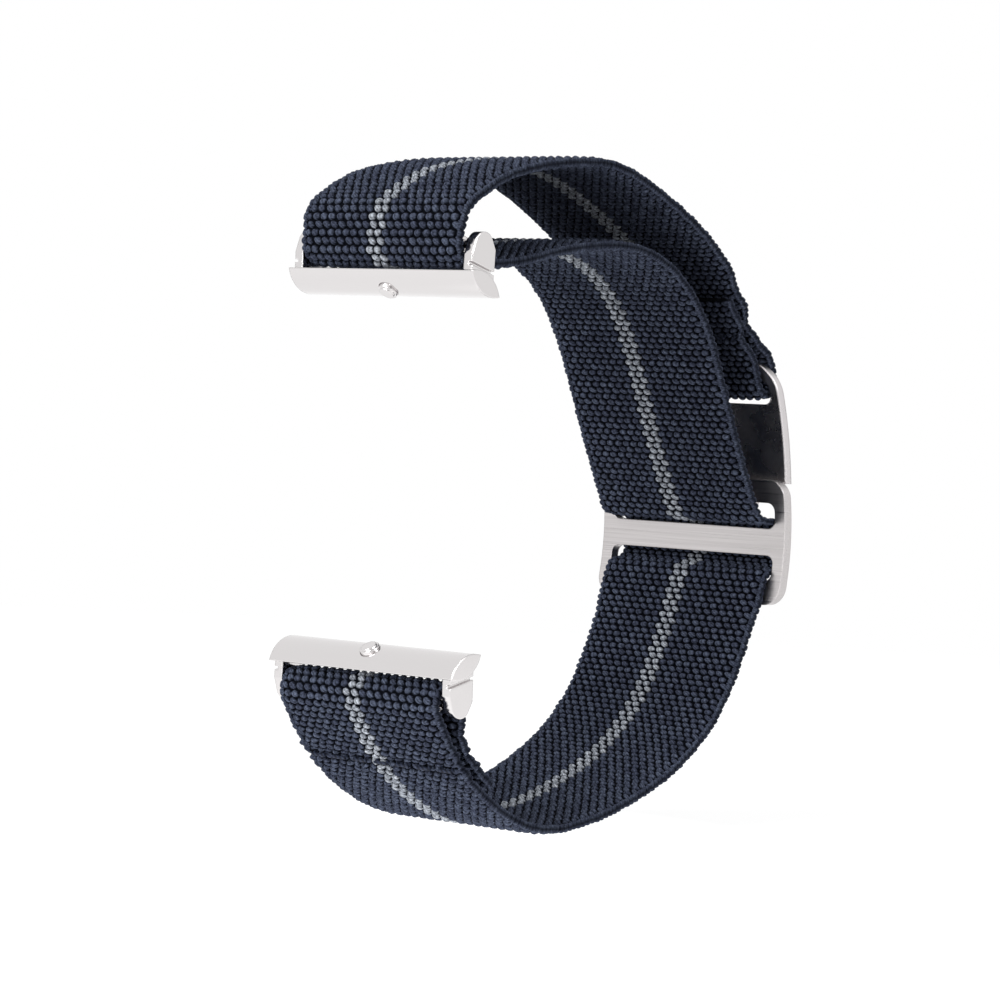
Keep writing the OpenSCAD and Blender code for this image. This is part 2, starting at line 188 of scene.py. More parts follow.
# Webbing threaded through the frame, both ways from the middle bar, as lengths and turns of arcs, and the
# hook plate's place on the frame
mid_pose = (FRAME_Y + FRAME_THICK + THREAD_GAP + PINCHED / 2, FRAME_Z, 90)
up_run = [(MID_BAR / 2 - 0.4, 0), (1.75, 87), (FRAME_THICK + 1.25, 0), (1.5, -57), (2.3, -2)]
down_run = [(MID_BAR / 2 - 0.12, 0), (2.9, -87), (2, 71), (1.45, 0)]
inner_start = walk(mid_pose, up_run)
lower_finish = turned(walk(turned(mid_pose), down_run))
bar_low = FRAME_Z + MID_BAR / 2 + SLOT
bar_outer = FRAME_Y - FRAME_CURVE + math.sqrt((FRAME_CURVE + FRAME_THICK) ** 2 - (bar_low - FRAME_Z) ** 2)
hook_axis = bar_outer + HOOK_GAP + HOOK_STANDS_OFF - math.sqrt(HOOK_CURVE ** 2 - (bar_low - HOOK_Z) ** 2)

# Stations of the strap's side outline: depth, height, heading
lower_sewn = (1.5, -30.5, -49)
upper_sewn = (47.5, 17.2, -58)
outer_finish = (43.8, 22.2, -49)
leave = -60
leave_at = (BAR_Y + FOLD * math.cos(math.radians(leave - 90)),
            -BAR_Z + FOLD * math.sin(math.radians(leave - 90)), leave)
lower_stations = [lower_sewn, (11, -37, -22), (19, -38, 7), (33, -34, 24), (41.5, -28.5, 43),
                  (46, -22.5, 63), lower_finish]
inner_stations = [inner_start, (43, 8.5, 114), (37, 19.5, 128), (29, 25, 163), (21.5, 25.7, 184),
                  (BAR_Y, BAR_Z - FOLD, 180)]
outer_stations = [(BAR_Y - FOLD, BAR_Z, 90), (-0.8, 29, 35), (6, 32.5, 16), (18.5, 34.5, 3),
                  (26, 33.3, -20), outer_finish]
fold_r = (HOOK_THICK + THICK) / 2 + HOOK_GAP
fold_z, loop_z = HOOK_TOP - HOOK_BAR - 0.1, HOOK_TOP - 0.3
loop_start = walk(outer_finish, [(STRETCH, 0)])
tail = join(lower_sewn, lower_stations[1])[:1]
tail_start = turned(beside(walk(lower_sewn, tail), LAYER))
doubled = join(loop_start, upper_sewn)
wrap = 270 + leave

# One unbroken strip, from the tail at the lower bar to the tail at the hook
RUNS = {
    "lower_loop": retraced(offset_run(tail, LAYER))
    + join(turned(beside(lower_sewn, LAYER)), (BAR_Y + FOLD, -BAR_Z, 90))
    + [(FOLD * math.radians(wrap), wrap)] + join(leave_at, lower_sewn),
    "lower_strap": joined(lower_stations),
    "frame_front": retraced(down_run) + up_run[:2],
    "frame_slot": up_run[2:3],
    "inner_strap": up_run[3:] + joined(inner_stations) + [(FOLD * math.pi / 2, -90)],
    "outer_strap": joined(outer_stations) + [(STRETCH, 0)],
    "hook_loop": doubled + joined([upper_sewn, hook_side(loop_z, fold_r), hook_side(fold_z, fold_r)])
    + [(fold_r * math.pi, -180)]
    + joined([hook_side(fold_z, -fold_r), hook_side(loop_z, -fold_r), turned(beside(upper_sewn, -LAYER))])
    + retraced(offset_run(doubled, -LAYER)),
}
CHAIN = [s for run in RUNS.values() for s in run]
LENGTHS = np.array([s[0] for s in CHAIN])
ENDS = np.concatenate([[0], np.cumsum(LENGTHS)])
TURNS = np.radians([s[1] for s in CHAIN]) / LENGTHS
POSES = np.array([walk(tail_start, CHAIN[:i]) for i in range(len(CHAIN))])
TOTAL = float(ENDS[-1])
ROW = TOTAL / round(TOTAL / ROW_WANTED)
run_ends = dict(zip(RUNS, np.cumsum([length_of(run) for run in RUNS.values()])))
run_starts = {name: run_ends[name] - length_of(run) for name, run in RUNS.items()}

# Lengths along the strip where the stitches cross it, at the lower bar and at the hook
LOWER_SEAM = [run_starts["lower_loop"] + offset_run(tail, LAYER)[0][0] - STITCH_IN,
              run_ends["lower_loop"] + STITCH_IN]
HOOK_SEAM = [run_starts["hook_loop"] + length_of(doubled) - STITCH_IN,
             TOTAL - length_of(offset_run(doubled, -LAYER)) + STITCH_IN]
SEAMS = LOWER_SEAM + HOOK_SEAM


def route(s):
    """Point and heading at length s: the arc that holds s, and the chord of the part of it that is passed."""
    i = np.clip(np.searchsorted(ENDS, s, side="right") - 1, 0, len(CHAIN) - 1)
    ds, k = s - ENDS[i], TURNS[i]
    h = np.radians(POSES[i, 2])
    bend = np.abs(k) > 1e-5
    safe = np.where(bend, k, 1.0)
    y = POSES[i, 0] + np.where(bend, (np.sin(h + k * ds) - np.sin(h)) / safe, ds * np.cos(h))
    z = POSES[i, 1] + np.where(bend, -(np.cos(h + k * ds) - np.cos(h)) / safe, ds * np.sin(h))
    return y, z, h + k * ds


def ease(x, a, b):
    """A smooth step from 0 at a to 1 at b."""
    t = np.clip((x - a) / (b - a), 0, 1)
    return t * t * (3 - 2 * t)


def near(s, places, reach):
    """The sum of a bell at each place: 1 on the place and about a third at its reach."""
    return sum(np.exp(-((s - at) / reach) ** 2) for at in places)


def scatter(i, j, seed):
    """A repeatable number from 0 to 1 for each whole pair: the fraction left by a large sine."""
    v = np.sin(i * 12.9898 + j * 78.233 + seed * 37.719) * 43758.5453
    return v - np.floor(v)


def thickness(s):
    """Full thickness along the strap, pinched from its way into the frame until it is clear of the hook."""
    into, out = run_starts["frame_front"], run_ends["frame_slot"] + 3.8
    pinch = ease(s, into - 0.5, into + 1.5) * (1 - ease(s, out - 2, out + 0.5))
    return THICK - (THICK - PINCHED) * pinch


def row_place(row):
    """Length along the strap of each row: rows spread over the upper bar and close up again behind it."""
    s, top = row * ROW, run_starts["outer_strap"]
    return s + ROW_SPREAD * (ease(s, top - 4, top + 8) - ease(s, top + 8, top + 34))


def width_share(s):
    """How wide the strap is at each length, as a share of its width.

    It widens a little over the upper bar and in the frame. It is gathered into the hook, and at the hook's
    seam it is drawn in and waves.
    """
    hook, top = run_starts["hook_loop"], run_starts["outer_strap"]
    wide = WIDTH + BAR_SPREAD * ease(s, top + 0.8, top + 3) * (1 - ease(s, top + 12, top + 24))
    wide = wide + (GATHERED - WIDTH) * ease(s, hook - 3.5, hook + 0.5)
    into, out = run_starts["frame_front"], run_ends["frame_slot"]
    wide = wide + FRAME_SPREAD * ease(s, into - 5, into) * (1 - ease(s, out, out + 4))
    wave = SEAM_WAVE * sum(near(s, [at], 4) * np.sin(1.4 * (s - at)) for at in HOOK_SEAM)
    return (wide + wave - SEAM_DRAWN * near(s, HOOK_SEAM, 1.1)) / WIDTH


def variety(column, row):
    """A number from 0 to 1 for each bead that the shader's nodes repeat exactly."""
    v = column * COLUMN_STEP + row * ROW_STEP
    return v - np.floor(v)


def dome(du, dv, side):
    """How far inside its bead a point lies: 1 at the middle, 0 on the rim, from -0.5 to 0.5 across its cell.

    One row's beads are nearly upright and the next row's lean. Every bead is a little wider at its far end.
    """
    across = (du + (LEAN + LEAN * side) * dv) / (HALF_ACROSS + FLARE * dv)
    along = (dv + (SLOPE + LEAN * side) * du) / HALF_ALONG
    return 1 - across ** 2 - along ** 2


def bead_height(u, v):
    """Height 0 to 1 over cells one bead wide and one row long: a dome with steep sides in each cell.

    Each row is shifted sideways against the last one, and each bead's height and place differ a little.
    """
    row = np.floor(v)
    side = np.where(row % 2 == 0, 1.0, -1.0)
    column = np.floor(u - side * SHIFT)
    own = variety(column, row)
    du = u - side * SHIFT - column - BEAD_MIDDLE - BEAD_WANDER * own
    high = np.sqrt(np.clip(dome(du, v - row - 0.5, side), 0, 1))
    return high * (1 - BEAD_VARIES + BEAD_VARIES * scatter(column, row, 3))


def face_depth(x, s, u, v):
    """How far a face stands from the webbing's middle: half the thickness, let down off the beads.

    It also falls towards the edges, and at the seams it is uneven, with a narrow groove for the stitches.
    """
    half = thickness(s) / 2
    squeeze = half / (THICK / 2)
    fall = EDGE_FALL * ease(np.abs(x), FACE_HALF - EDGE_ROUND, FACE_HALF)
    ruck = np.clip(near(s, SEAMS, RUCK_REACH), 0, 1)
    lumps = np.sin(1.7 * x + 0.9 * s) * np.sin(0.8 * x - 1.4 * s + 1) + 0.6 * np.sin(2.9 * x + 2.3 * s + 2)
    face = half - squeeze * (BEAD_RISE * (1 - bead_height(u, v)) + fall)
    return face + SEAM_LUMPS * (lumps - 1) * ruck - SEAM_GROOVE * near(s, SEAMS, GROOVE_REACH)


def cord_shape(x, s, v, out_d):
    """Radius of the edge's cord, and how far its middle is moved outwards.

    The radius swells with each turn of the wrapping, three to a row, and the middle moves out once a row.
    Both are uneven near the lower seam, where the edge is frayed.
    """
    wraps = np.sqrt(np.abs(np.sin(math.pi * (v * 3 + 0.4 * out_d))))
    lobes = np.sqrt(np.clip(np.sin(math.pi * (v - np.floor(v))), 0, 1))
    lobes = lobes * (0.6 + 0.8 * scatter(np.floor(v), 0 * v, 1))
    loose = np.clip(near(s, LOWER_SEAM, RUCK_REACH), 0, 1)
    frayed = loose * np.sin(3.9 * s + np.sign(x)) * np.sin(1.7 * s + 2)
    wander = CORD_WANDER * np.sin(5.3 * s + 2 * out_d) * np.sin(3.1 * s)
    radius = EDGE_R - CORD_SUNK + WRAP_SWELL * wraps + wander
    return radius + FRAY_SWELL * frayed, LOBE_OUT * lobes - LOBE_IN + FRAY_OUT * frayed


def ring_round_webbing():
    """One ring of points: over one face, round an edge's cord, over the other face and round the other cord.

    Gives each point's place across, how it stands out across and in depth, whether it is on a face, and the
    count of beads up to it. A cord is a half oval, grooved along its middle.
    """
    face_x = np.linspace(-FACE_HALF, FACE_HALF, FACE_POINTS)
    flat, round_cord = np.zeros(FACE_POINTS), np.ones(CORD_ANGLES.size)
    x = np.concatenate([face_x, CORD_X * round_cord, face_x[::-1], -CORD_X * round_cord])
    groove = 1 - 0.45 * np.exp(-(CORD_ANGLES / 0.35) ** 2)
    out_x = np.concatenate([flat, np.cos(CORD_ANGLES) * groove, flat, -np.cos(CORD_ANGLES) * groove])
    out_d = np.concatenate([flat + 1, np.sin(CORD_ANGLES), flat - 1, -np.sin(CORD_ANGLES)])
    on_face = np.concatenate([flat + 1, 0 * round_cord, flat + 1, 0 * round_cord])
    beads = np.arange(FACE_POINTS) / PER_BEAD
    turns = np.arange(1, CORD_ANGLES.size + 1) * (EDGE_CELLS / (CORD_ANGLES.size + 1))
    half_round = np.concatenate([beads, COLUMNS + turns])
    return x, out_x, out_d, on_face, np.concatenate([half_round, COLUMNS + EDGE_CELLS + half_round])


def end_faces(ring):
    """Faces that close a ring: a strip between the two faces of the webbing, and a flat end for each cord."""
    left = np.arange(FACE_POINTS - 1)
    back = FACE_POINTS + CORD_ANGLES.size
    right = back + FACE_POINTS - 1 - left
    strip = np.stack([left, right, right - 1, left + 1], axis=-1).tolist()
    return strip + [list(range(FACE_POINTS - 1, back + 1)), list(range(back + FACE_POINTS - 1, ring)) + [0]]


def tube_faces(rings, ring):
    """Four-cornered faces between the rings of a tube, whose points are numbered ring by ring."""
    i, j = np.meshgrid(np.arange(rings - 1), np.arange(ring), indexing="ij")
    k = (j + 1) % ring
    corners = [i * ring + j, i * ring + k, (i + 1) * ring + k, (i + 1) * ring + j]
    return np.stack(corners, axis=-1).reshape(-1, 4)


def weave(name, start, end, cap_start=False, cap_end=False):
    """The webbing between two lengths, as a tube that is closed where the strip has an end.

    Every ring of points is carried along the route: x stays, and the depth runs along the route's normal.
    The UV map counts beads around the ring and rows along it.
    """
    first_row, last_row = round(start / ROW), round(end / ROW)
    rows = np.linspace(first_row, last_row, (last_row - first_row) * PER_ROW + 1)
    ring = ring_round_webbing()
    v, across = np.meshgrid(rows, ring[0], indexing="ij")
    out_x, out_d, on_face, u = (np.broadcast_to(part, v.shape) for part in ring[1:])
    s = row_place(v)
    squeeze = thickness(s) / 2 / (THICK / 2)
    radius, outwards = cord_shape(across, s, v, out_d)
    cord_x = across + np.sign(across) * outwards + out_x * radius
    cord_depth = out_d * (radius + CORD_DEEPER) * squeeze
    x = np.where(on_face > 0, across, cord_x) * width_share(s)
    depth = np.where(on_face > 0, out_d * face_depth(across, s, u, v), cord_depth)
    y, z, h = route(s)
    places = np.stack([x, y - depth * np.sin(h), z + depth * np.cos(h)], axis=-1) * MM

    rings, around = s.shape
    quads = tube_faces(rings, around)
    count = u.reshape(-1)[quads]
    # a ring's last face ends on the ring's first point, where the count of beads is full
    count[:, 1:3] = np.where(quads[:, 1:3] % around == 0, CELLS_ROUND, count[:, 1:3])
    uv = [np.stack([count, v.reshape(-1)[quads]], -1).reshape(-1, 2)]
    point_uv = np.stack([u, v], -1).reshape(-1, 2)
    faces = quads.tolist()
    for closed, base, way in ((cap_start, 0, 1), (cap_end, (rings - 1) * around, -1)):
        for cap in end_faces(around) if closed else ():
            cap = [base + point for point in cap[::way]]
            faces.append(cap)
            uv.append(point_uv[cap])
    mesh = bpy.data.meshes.new(name)
    mesh.from_pydata(places.reshape(-1, 3), [], faces)
    edge = mesh.attributes.new("edge", "FLOAT", "POINT")
    edge.data.foreach_set("value", (1 - on_face).reshape(-1).astype(np.float32))
    thread = mesh.uv_layers.new(name="Thread")
    thread.data.foreach_set("uv", np.concatenate(uv).reshape(-1).astype(np.float32))
    return finish_mesh(name, mesh)


def coil(name, z, end):
    """Half of a bar's spring: a closed tube of round wire along a helix, from the bar's middle to x = end.

    At a share q of its length the wire's middle is at x = end q, and y and z go round the helix's circle.
    """
    turns, helix, wire, around, per_turn = 12, 0.32, 0.11, 8, 16
    share = np.linspace(0, 1, turns * per_turn + 1)
    angle = 2 * math.pi * turns * share
    out = np.stack([0 * angle, np.cos(angle), np.sin(angle)], axis=-1)
    middle = np.stack([end * share, 0 * angle + BAR_Y, 0 * angle + z], axis=-1) + helix * out
    ring = (np.arange(around) * 2 * math.pi / around)[:, None]
    tube = middle[:, None] + wire * (np.cos(ring) * out[:, None] + np.sin(ring) * np.array([1, 0, 0]))
    last = (share.size - 1) * around
    faces = tube_faces(share.size, around)[:, [0, 3, 2, 1]].tolist()
    faces += [list(range(around)), list(range(last, last + around))[::-1]]
    mesh = bpy.data.meshes.new(name)
    mesh.from_pydata(tube.reshape(-1, 3) * MM, [], faces)
    return finish_mesh(name, mesh)


def finish_mesh(name, mesh):
    """Smooths a mesh's faces and puts it into the scene."""
    mesh.polygons.foreach_set("use_smooth", np.ones(len(mesh.polygons), bool))
    mesh.update()
    piece = bpy.data.objects.new(name, mesh)
    bpy.context.scene.collection.objects.link(piece)
    return piece


# Materials
def colour(code):
    """sRGB hex to linear RGBA."""
    v = np.array([int(code[i:i + 2], 16) for i in (0, 2, 4)]) / 255
    return (*np.where(v <= 0.04045, v / 12.92, ((v + 0.055) / 1.055) ** 2.4), 1.0)


def add(tree, kind, links=(), **settings):
    """Adds a node, sets its properties and sockets by name, and links or sets others by place."""
    node = tree.nodes.new(kind)
    for key, value in settings.items():
        if hasattr(node, key):
            setattr(node, key, value)
        else:
            node.inputs[key.replace("_", " ")].default_value = value
    for key, source in links:
        if isinstance(source, bpy.types.NodeSocket):
            tree.links.new(source, node.inputs[key])
        else:
            node.inputs[key].default_value = source
    return node


def material(name):
    """A material with an empty node tree."""
    made = bpy.data.materials.new(name)
    made.use_nodes = True
    made.node_tree.nodes.clear()
    return made, made.node_tree


def bead_cells(tree, u, v):
    """bead_height()'s cells as nodes: column, row, side, the bead's own number, and place in the cell."""
    row = add(tree, "ShaderNodeMath", [(0, v)], operation="FLOOR").outputs[0]
    odd = add(tree, "ShaderNodeMath", [(0, row), (1, 2.0)], operation="MODULO").outputs[0]
    side = add(tree, "ShaderNodeMath", [(0, odd), (1, -2.0), (2, 1.0)], operation="MULTIPLY_ADD").outputs[0]
    shifted = add(tree, "ShaderNodeMath", [(0, side), (1, -SHIFT), (2, u)],
                  operation="MULTIPLY_ADD").outputs[0]
    column = add(tree, "ShaderNodeMath", [(0, shifted)], operation="FLOOR").outputs[0]
    own = add(tree, "ShaderNodeMath", [(0, row), (1, ROW_STEP)], operation="MULTIPLY").outputs[0]
    own = add(tree, "ShaderNodeMath", [(0, column), (1, COLUMN_STEP), (2, own)],
              operation="MULTIPLY_ADD").outputs[0]
    own = add(tree, "ShaderNodeMath", [(0, own)], operation="FRACT").outputs[0]
    du = add(tree, "ShaderNodeMath", [(0, shifted), (1, column)], operation="SUBTRACT").outputs[0]
    du = add(tree, "ShaderNodeMath", [(0, own), (1, -BEAD_WANDER), (2, du)],
             operation="MULTIPLY_ADD").outputs[0]
    du = add(tree, "ShaderNodeMath", [(0, du), (1, BEAD_MIDDLE)], operation="SUBTRACT").outputs[0]
    dv = add(tree, "ShaderNodeMath", [(0, v), (1, row)], operation="SUBTRACT").outputs[0]
    dv = add(tree, "ShaderNodeMath", [(0, dv), (1, 0.5)], operation="SUBTRACT").outputs[0]
    return column, row, side, own, du, dv


def bead_cover(tree, side, du, dv, ragged):
    """dome() as nodes, turned into 1 on a bead and 0 in the gaps, with a ragged rim: the mask of the painted
    shade in the gaps, and part of the bump's height.
    """
    lean = add(tree, "ShaderNodeMath", [(0, side), (1, LEAN), (2, LEAN)], operation="MULTIPLY_ADD").outputs[0]
    across = add(tree, "ShaderNodeMath", [(0, lean), (1, dv), (2, du)], operation="MULTIPLY_ADD").outputs[0]
    reach = add(tree, "ShaderNodeMath", [(0, dv), (1, FLARE), (2, HALF_ACROSS)],
                operation="MULTIPLY_ADD").outputs[0]
    across = add(tree, "ShaderNodeMath", [(0, across), (1, reach)], operation="DIVIDE").outputs[0]
    slope = add(tree, "ShaderNodeMath", [(0, side), (1, LEAN), (2, SLOPE)],
                operation="MULTIPLY_ADD").outputs[0]
    along = add(tree, "ShaderNodeMath", [(0, slope), (1, du), (2, dv)], operation="MULTIPLY_ADD").outputs[0]
    along = add(tree, "ShaderNodeMath", [(0, along), (1, HALF_ALONG)], operation="DIVIDE").outputs[0]
    squares = [add(tree, "ShaderNodeMath", [(0, w), (1, w)], operation="MULTIPLY").outputs[0]
               for w in (across, along)]
    ring = add(tree, "ShaderNodeMath", [(0, squares[0]), (1, squares[1])], operation="ADD").outputs[0]
    ring = add(tree, "ShaderNodeMath", [(0, ragged), (1, 0.9), (2, ring)],
               operation="MULTIPLY_ADD").outputs[0]
    return add(tree, "ShaderNodeMapRange", [("Value", ring), ("From Min", 0.95), ("From Max", 1.55),
               ("To Min", 1.0), ("To Max", 0.0)], interpolation_type="SMOOTHSTEP").outputs[0]


def yarn_strands(tree, side, own, du, dv, ragged):
    """Strands of the yarn: two or three to a bead, lying along its lean, the pattern for their bump and their
    painted light and shade.
    """
    tilt = add(tree, "ShaderNodeMath", [(0, side), (1, 0.9), (2, 1.5)], operation="MULTIPLY_ADD").outputs[0]
    lie = add(tree, "ShaderNodeMath", [(0, du), (1, 2.4)], operation="MULTIPLY").outputs[0]
    for weight, source in ((tilt, dv), (own, 1.7), (ragged, 1.5)):
        lie = add(tree, "ShaderNodeMath", [(0, weight), (1, source), (2, lie)],
                  operation="MULTIPLY_ADD").outputs[0]
    strand = add(tree, "ShaderNodeMath", [(0, lie), (1, 0.5)], operation="PINGPONG").outputs[0]
    return add(tree, "ShaderNodeMath", [(0, strand), (1, 2.0)], operation="MULTIPLY").outputs[0]


def cord_wrapping(tree, u, v, ragged):
    """Wrapping of the edge cord: slanted turns 0.24 mm apart, the pattern for their bump and their painted
    light and shade.
    """
    turns = add(tree, "ShaderNodeMath", [(0, u), (1, 0.9)], operation="MULTIPLY").outputs[0]
    for source, weight in ((v, 3.1), (ragged, 1.6)):
        turns = add(tree, "ShaderNodeMath", [(0, source), (1, weight), (2, turns)],
                    operation="MULTIPLY_ADD").outputs[0]
    wrapping = add(tree, "ShaderNodeMath", [(0, turns), (1, 0.5)], operation="PINGPONG").outputs[0]
    return add(tree, "ShaderNodeMath", [(0, wrapping), (1, 2.0)], operation="MULTIPLY").outputs[0]


def cord_groove_shade(tree, u):
    """The groove along the middle of the edge's cord, with painted shade that is darkest in its middle."""
    middle = add(tree, "ShaderNodeMath", [(0, u), (1, COLUMNS + EDGE_CELLS / 2)],
                 operation="SUBTRACT").outputs[0]
    middle = add(tree, "ShaderNodeMath", [(0, middle), (1, (COLUMNS + EDGE_CELLS) / 2)],
                 operation="PINGPONG").outputs[0]
    return add(tree, "ShaderNodeMapRange", [("Value", middle), ("From Max", 0.35), ("To Min", 0.1),
               ("To Max", 0.9)]).outputs[0]


def yarn_colour(tree, column, row):
    """One tone for each bead, and the light stripe two beads wide on both faces."""
    cell = add(tree, "ShaderNodeCombineXYZ", [(0, column), (1, row)]).outputs[0]
    tone = add(tree, "ShaderNodeTexWhiteNoise", [("Vector", cell)], noise_dimensions="2D").outputs["Value"]
    stripes = [add(tree, "ShaderNodeMath", [(0, column), (1, first + 0.5), (2, 0.6)],
                   operation="COMPARE").outputs[0] for first in (STRIPE, STRIPE_BACK)]
    stripe = add(tree, "ShaderNodeMath", [(0, stripes[0]), (1, stripes[1])], operation="MAXIMUM").outputs[0]
    navy, grey = (add(tree, "ShaderNodeMix", [("Factor", tone), (6, colour(dark)), (7, colour(light))],
                      data_type="RGBA").outputs[2]
                  for dark, light in (("464c5f", "5b6377"), ("a8aeb9", "c2c8d2")))
    return add(tree, "ShaderNodeMix", [("Factor", stripe), (6, navy), (7, grey)], data_type="RGBA").outputs[2]


def woven_polyester():
    """Textured polyester yarn over elastic: matt, with fibre streaks on each bead, and painted shade that
    darkens the gaps between the beads and the groove along each edge's cord.

    The nodes repeat dome() on the UV map, which counts beads and rows, so that every bead has a sharp rim.
    """
    made, tree = material("woven_polyester")
    place = add(tree, "ShaderNodeUVMap", uv_map="Thread").outputs["UV"]
    edge = add(tree, "ShaderNodeAttribute", attribute_name="edge").outputs["Fac"]
    split = add(tree, "ShaderNodeSeparateXYZ", [(0, place)])
    u, v = split.outputs[0], split.outputs[1]
    ragged = add(tree, "ShaderNodeTexNoise", [("Vector", place)], Scale=3.0, Detail=4.0,
                 Roughness=0.65).outputs["Fac"]
    column, row, side, own, du, dv = bead_cells(tree, u, v)
    cover = bead_cover(tree, side, du, dv, ragged)
    strand = yarn_strands(tree, side, own, du, dv, ragged)
    wrapping = cord_wrapping(tree, u, v, ragged)
    # painted shade in the groove along each cord's middle
    groove_shade = cord_groove_shade(tree, u)
    height_and_gap_shade = add(tree, "ShaderNodeMix", [("Factor", edge), (2, cover), (3, groove_shade)]).outputs[0]
    lines = add(tree, "ShaderNodeMix", [("Factor", edge), (2, strand), (3, wrapping)]).outputs[0]
    yarn = yarn_colour(tree, column, row)
    # fibres: fine flecks smaller than a strand
    fibres = add(tree, "ShaderNodeTexNoise", [("Vector", place)], Scale=3.4, Detail=5.0,
                 Roughness=0.75).outputs["Fac"]
    flecks = add(tree, "ShaderNodeMapRange", [("Value", fibres), ("From Min", 0.34), ("From Max", 0.66),
                 ("To Min", 0.3), ("To Max", 1.45)]).outputs[0]
    # painted light and shade: each strand and wrapping turn is lighter along its crest and darker in the
    # creases between them
    strand_shading = add(tree, "ShaderNodeMapRange", [("Value", lines), ("To Min", 0.52), ("To Max", 1.18)]).outputs[0]
    fibre_tone_and_strand_shade = add(tree, "ShaderNodeMath", [(0, strand_shading), (1, flecks)], operation="MULTIPLY").outputs[0]
    lit = add(tree, "ShaderNodeVectorMath", [(0, yarn), ("Scale", fibre_tone_and_strand_shade)], operation="SCALE").outputs[0]
    # painted shade: the gaps between beads and the middle of each cord's groove are mixed towards near-black
    shaded_gaps = add(tree, "ShaderNodeMix", [("Factor", height_and_gap_shade), (6, colour("02040c")), (7, lit)], data_type="RGBA")
    high = height_and_gap_shade
    for source, weight in ((lines, 0.3), (fibres, 0.5)):
        high = add(tree, "ShaderNodeMath", [(0, source), (1, weight), (2, high)],
                   operation="MULTIPLY_ADD").outputs[0]
    bump = add(tree, "ShaderNodeBump", [("Height", high)], Strength=0.8, Distance=0.00018)
    skin = add(tree, "ShaderNodeBsdfPrincipled", [("Base Color", shaded_gaps.outputs[2]),
               ("Normal", bump.outputs[0])], Roughness=0.9, Specular_IOR_Level=0.08)
    add(tree, "ShaderNodeOutputMaterial", [("Surface", skin.outputs[0])])
    return made


def sewing_thread():
    """Bonded polyester thread: smoother than the webbing, with its plies about 0.4 mm apart shown by painted
    shade in the grooves between them.
    """
    made, tree = material("bonded_thread")
    place = add(tree, "ShaderNodeTexCoord").outputs["Object"]
    plies = add(tree, "ShaderNodeTexWave", [("Vector", place)], Scale=900.0, Distortion=1.0,
                bands_direction="DIAGONAL").outputs["Fac"]
    # painted shade: dark bands in the grooves between the plies, lighter on their crests
    ply_shading = add(tree, "ShaderNodeMix", [("Factor", plies), (6, colour("141824")), (7, colour("30374a"))],
               data_type="RGBA")
    bump = add(tree, "ShaderNodeBump", [("Height", plies)], Strength=0.4, Distance=0.00005)
    skin = add(tree, "ShaderNodeBsdfPrincipled", [("Base Color", ply_shading.outputs[2]),
               ("Normal", bump.outputs[0])], Roughness=0.7, Specular_IOR_Level=0.2)
    add(tree, "ShaderNodeOutputMaterial", [("Surface", skin.outputs[0])])
    return made


def brushed_stainless():
    """Stainless steel brushed along its width, with bright, slightly rounded edges."""
    made, tree = material("brushed_stainless")
    place = add(tree, "ShaderNodeTexCoord").outputs["Object"]
    # scratches about 0.1 mm apart and centimetres long
    stretched = add(tree, "ShaderNodeMapping", [("Vector", place), ("Scale", (60, 9000, 9000))])
    lines = add(tree, "ShaderNodeTexNoise", [("Vector", stretched.outputs[0])], Scale=1.0,
                Detail=4.0).outputs["Fac"]
    rough = add(tree, "ShaderNodeMapRange", [("Value", lines), ("From Min", 0.3), ("From Max", 0.7),
                ("To Min", 0.26), ("To Max", 0.4)])
    grain = add(tree, "ShaderNodeMapRange", [("Value", lines), ("From Min", 0.35), ("From Max", 0.65)])
    tint = add(tree, "ShaderNodeMix", [("Factor", grain.outputs[0]), (6, colour("bcb8b8")),
               (7, colour("cbc7c7"))], data_type="RGBA")
    rim = add(tree, "ShaderNodeBevel", samples=6, Radius=0.00018)
    bump = add(tree, "ShaderNodeBump", [("Height", lines), ("Normal", rim.outputs[0])], Strength=0.25,
               Distance=0.00002)
    steel = add(tree, "ShaderNodeBsdfPrincipled", [("Base Color", tint.outputs[2]),
                ("Roughness", rough.outputs[0]), ("Normal", bump.outputs[0])], Metallic=1.0)
    add(tree, "ShaderNodeOutputMaterial", [("Surface", steel.outputs[0])])
    return made


def polished_steel(name, code, roughness, haze, edge):
    """Polished stainless steel: a mirror with faint polishing haze and rounded edges that catch the light."""
    made, tree = material(name)
    place = add(tree, "ShaderNodeTexCoord").outputs["Object"]
    # haze in patches about 2.5 mm across
    wipes = add(tree, "ShaderNodeTexNoise", [("Vector", place)], Scale=400.0, Detail=3.0).outputs["Fac"]
    rough = add(tree, "ShaderNodeMapRange", [("Value", wipes), ("From Min", 0.35), ("From Max", 0.75),
                ("To Min", roughness), ("To Max", roughness + haze)])
    rim = add(tree, "ShaderNodeBevel", samples=8, Radius=edge)
    steel = add(tree, "ShaderNodeBsdfPrincipled", [("Roughness", rough.outputs[0]),
                ("Normal", rim.outputs[0])], Base_Color=colour(code), Metallic=1.0)
    add(tree, "ShaderNodeOutputMaterial", [("Surface", steel.outputs[0])])
    return made


WEBBING = woven_polyester()
THREAD = sewing_thread()
BRUSHED = brushed_stainless()
POLISHED = polished_steel("polished_stainless", "dad7d7", roughness=0.07, haze=0.08, edge=0.00025)
SATIN = polished_steel("satin_stainless", "cfcbcc", roughness=0.24, haze=0.1, edge=0.0004)
SPRING = polished_steel("drawn_spring_wire", "b4b4b6", roughness=0.25, haze=0.1, edge=0.00005)

